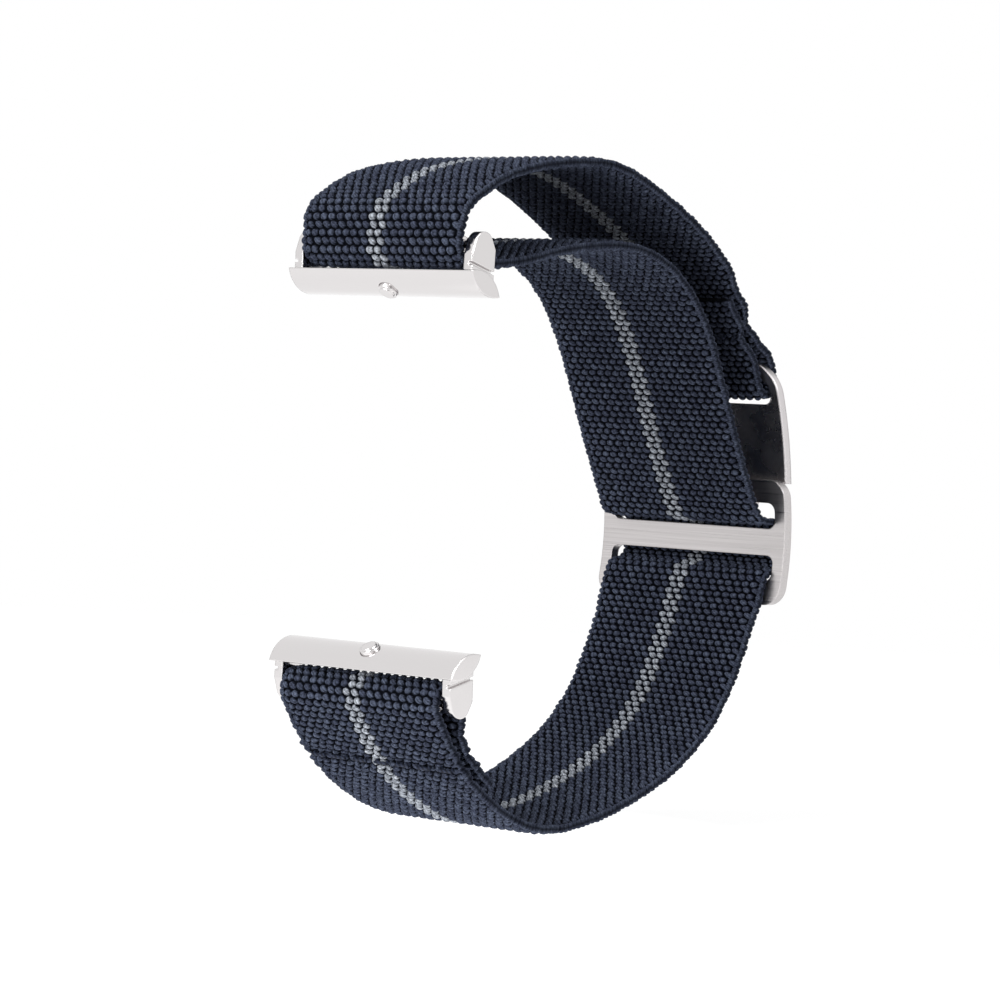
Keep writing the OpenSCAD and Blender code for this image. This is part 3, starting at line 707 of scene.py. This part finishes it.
# Webbing pieces, by where they start and end and which ends are closed. The long ones are made in two, and
# the piece in the frame's upper slot reaches 2 mm before it and 2.2 mm past it
span = {name: (run_starts[name], run_ends[name]) for name in RUNS}
halfway = {name: sum(span[name]) / 2 for name in RUNS}
in_slot = (span["frame_front"][1] - 2, span["frame_slot"][1] + 2.2)
WEAVES = {
    "lower_loop": (*span["lower_loop"], True, False),
    "lower_strap": (span["lower_strap"][0], halfway["lower_strap"]),
    "lower_strap_back": (halfway["lower_strap"], span["lower_strap"][1]),
    "frame_front": (span["frame_front"][0], in_slot[0]),
    "frame_slot": in_slot,
    "inner_strap": (in_slot[1], halfway["inner_strap"]),
    "inner_strap_top": (halfway["inner_strap"], span["inner_strap"][1]),
    "outer_strap": (span["outer_strap"][0], halfway["outer_strap"]),
    "outer_strap_back": (halfway["outer_strap"], span["outer_strap"][1]),
    "hook_loop": (*span["hook_loop"], False, True),
}
STANDS_FOR = {
    "lower_loop": "lower_end_loop",
    "lower_strap": "lower_strap",
    "frame_front": "webbing_in_adjuster",
    "inner_strap": "inner_strap",
    "inner_strap_top": "upper_fold",
    "outer_strap": "outer_strap",
    "hook_loop": "hook_end_loop",
}
# Pieces that are baked where they stand and kept out of both bodies: the webbing in the slot under the hook's
# floor, and the straps on both sides of the hook. Each goes from one body's place to the other's, in metres
over_hook = ("webbing", "hook", (0, 0.004, 0.0315), (0, 0.0435, 0.0225))
GIVES = {
    "frame_slot": ("webbing", "hook", (0, 0.0514, -0.00485), (0, 0.0514, -0.003)),
    "inner_strap": ("hook", "webbing", (0, 0.0486, -0.00263), (0, 0.0427, 0.0078)),
    "outer_strap": over_hook,
    "outer_strap_back": over_hook,
}
for name, ends in WEAVES.items():
    piece = weave(name + "_weave", *ends)
    piece.data.materials.append(WEBBING)
    if name in GIVES:
        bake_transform(piece)
    else:
        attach(piece, "hook" if name == "hook_loop" else "webbing")
    if name in STANDS_FOR:
        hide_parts(STANDS_FOR[name])

# The bars' springs, each in two halves that run from the bar's middle to the tip at each end
for bar, z in (("upper", BAR_Z), ("lower", -BAR_Z)):
    for tip, end in (("left", -SHANK_END), ("right", SHANK_END)):
        piece = coil(f"{bar}_bar_coil_{tip}", z, end)
        piece.data.materials.append(SPRING)
        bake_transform(piece)
        if tip == "left":
            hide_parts(bar + "_bar_spring")

# Metal and thread on the solids that keep their own shape
for name, node in NODES.items():
    if node.hide_render:
        continue
    finish = POLISHED
    if name == "adjuster_frame":
        finish = BRUSHED
    elif name == "hook_plate":
        finish = SATIN
    elif "stitches" in name:
        finish = THREAD
    elif "spring" in name:
        finish = SPRING
    node.data.materials.clear()
    node.data.materials.append(finish)


# Floor, backdrop and studio light
def sees_backdrop(tree):
    """1 for a ray from the camera, from gloss or through glass, which sees the backdrop's own white."""
    ray = add(tree, "ShaderNodeLightPath")
    seen = add(tree, "ShaderNodeMath", [(0, ray.outputs["Is Camera Ray"]), (1, ray.outputs["Is Glossy Ray"])],
               operation="MAXIMUM")
    return add(tree, "ShaderNodeMath", [(0, seen.outputs[0]), (1, ray.outputs["Is Transmission Ray"])],
               operation="MAXIMUM").outputs[0]


def white_paper():
    """Matt white paper: it shows the strap's shadow near the strap and turns into the backdrop further out.

    A patch of the paper under the strap glows for every ray, though it is no lamp, and lights the strap's
    lowest part out of the dark.
    """
    made, tree = material("white_paper")
    seen = sees_backdrop(tree)
    place = add(tree, "ShaderNodeTexCoord").outputs["Object"]
    far = add(tree, "ShaderNodeVectorMath", [(0, place)], operation="LENGTH").outputs["Value"]
    share = add(tree, "ShaderNodeMapRange", [("Value", far), ("From Min", 0.1), ("From Max", 0.45),
                ("To Min", 0.6)])
    share = add(tree, "ShaderNodeMath", [(0, seen), (1, share.outputs[0])], operation="MULTIPLY")
    # glow of the paper near the strap, seen by every ray: a light that is no lamp
    glowing_patch = add(tree, "ShaderNodeMapRange", [("Value", far), ("From Min", 0.04), ("From Max", 0.11),
                ("To Min", 0.9), ("To Max", 0.0)])
    share = add(tree, "ShaderNodeMath", [(0, share.outputs[0]), (1, glowing_patch.outputs[0])], operation="MAXIMUM")
    level = add(tree, "ShaderNodeMapRange", [("Value", far), ("From Min", 0.1), ("From Max", 0.45),
                ("To Min", 1.48), ("To Max", 1.0)])
    paper = add(tree, "ShaderNodeBsdfDiffuse", Color=colour("e8e8e8"))
    glow = add(tree, "ShaderNodeEmission", [("Strength", level.outputs[0])])
    both = add(tree, "ShaderNodeMixShader", [(0, share.outputs[0]), (1, paper.outputs[0]),
               (2, glow.outputs[0])])
    add(tree, "ShaderNodeOutputMaterial", [("Surface", both.outputs[0])])
    return made


def black_card():
    """Card that is black in its middle and fades to white, so that its own edge doesn't show on the steel."""
    made, tree = material("black_card")
    middle = add(tree, "ShaderNodeTexCoord").outputs["Object"]
    away = add(tree, "ShaderNodeVectorMath", [(0, middle)], operation="LENGTH").outputs["Value"]
    soft = add(tree, "ShaderNodeMapRange", [("Value", away), ("From Min", 0.02), ("From Max", 0.4),
               ("To Min", 0.05), ("To Max", 1.0)], interpolation_type="SMOOTHSTEP")
    felt = add(tree, "ShaderNodeEmission", [("Strength", soft.outputs[0])])
    add(tree, "ShaderNodeOutputMaterial", [("Surface", felt.outputs[0])])
    return made


def studio_world():
    """White backdrop, with light on the strap that comes more from the walls than from the ceiling.

    The front wall gives more of it than the back wall.
    """
    world = bpy.data.worlds.new("studio")
    world.use_nodes = True
    tree = world.node_tree
    tree.nodes.clear()
    seen = sees_backdrop(tree)
    way = add(tree, "ShaderNodeSeparateXYZ", [(0, add(tree, "ShaderNodeTexCoord").outputs["Generated"])])
    steep = add(tree, "ShaderNodeMath", [(0, way.outputs[2])], operation="ABSOLUTE").outputs[0]
    level = add(tree, "ShaderNodeMapRange", [("Value", steep), ("From Max", 0.8), ("To Min", 0.65),
                ("To Max", 0.12)])
    front = add(tree, "ShaderNodeMapRange", [("Value", way.outputs[1]), ("From Min", -1.0),
                ("To Min", 1.15), ("To Max", 0.4)])
    level = add(tree, "ShaderNodeMath", [(0, level.outputs[0]), (1, front.outputs[0])], operation="MULTIPLY")
    ambient = add(tree, "ShaderNodeBackground", [("Strength", level.outputs[0])], Color=(1, 1, 1, 1))
    backdrop = add(tree, "ShaderNodeBackground", Color=(1, 1, 1, 1), Strength=1.0)
    both = add(tree, "ShaderNodeMixShader", [(0, seen), (1, ambient.outputs[0]), (2, backdrop.outputs[0])])
    add(tree, "ShaderNodeOutputWorld", [("Surface", both.outputs[0])])
    return world


def stage_square(name, half, height, finish):
    """A flat square of the stage that faces up."""
    mesh = bpy.data.meshes.new(name)
    corners = [(-half, -half, height), (half, -half, height), (half, half, height), (-half, half, height)]
    mesh.from_pydata(corners, [], [(0, 1, 2, 3)])
    mesh.materials.append(finish)
    square = bpy.data.objects.new(name, mesh)
    bpy.context.scene.collection.objects.link(square)
    square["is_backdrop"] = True
    return square


def softbox(name, place, target, size, power):
    """A square area lamp, turned to face its target."""
    lamp = bpy.data.lights.new(name, "AREA")
    lamp.size = size
    lamp.energy = power
    holder = bpy.data.objects.new(name, lamp)
    holder.location = place
    holder.rotation_euler = (Vector(target) - Vector(place)).to_track_quat("-Z", "Y").to_euler()
    bpy.context.scene.collection.objects.link(holder)


def flag(name, place, size):
    """A black card that faces the strap and shows in reflections alone."""
    card = stage_square(name, half=size / 2, height=0, finish=BLACK_CARD)
    card.location = place
    card.rotation_euler = (-Vector(place)).to_track_quat("Z", "Y").to_euler()
    card.visible_camera = card.visible_diffuse = card.visible_shadow = False


low = min(c[2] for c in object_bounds())
stage_square("studio_floor", half=3.0, height=low - 0.0002, finish=white_paper())
bpy.context.scene.world = studio_world()
softbox("key_softbox", place=(-0.12, -0.6, 0.5), target=(0, 0.02, 0), size=0.5, power=4.0)
softbox("low_softbox", place=(0.1, -0.4, -0.022), target=(0, 0, -0.03), size=0.14, power=0.4)
softbox("side_softbox", place=(0.6, 0.1, 0.25), target=(0, 0.02, 0), size=0.4, power=2.0)
# Cards that show in the steel alone: they draw the dark lines along its rounded edges
BLACK_CARD = black_card()
flag("flag_over_top", place=(-0.1, 0.42, 0.48), size=0.9)
flag("flag_by_camera", place=(0.5, -0.5, 0.02), size=0.52)

# Camera at the photograph's angle
camera_data = bpy.data.cameras.new("camera")
camera_data.lens = 144.0
camera_data.sensor_width = 36.0
camera = bpy.data.objects.new("camera", camera_data)
right, down = Vector((0.73077, 0.68070, 0.05120)), Vector((0.04998, 0.02144, -0.99852))
forward = Vector((-0.68079, 0.73225, -0.01835))
turn = Matrix((right, -down, -forward)).transposed()
camera.matrix_world = Matrix.Translation((0.3016, -0.30619, 0.00531)) @ turn.to_4x4()
bpy.context.scene.collection.objects.link(camera)
bpy.context.scene.camera = camera
bpy.context.scene.view_settings.view_transform = "Standard"
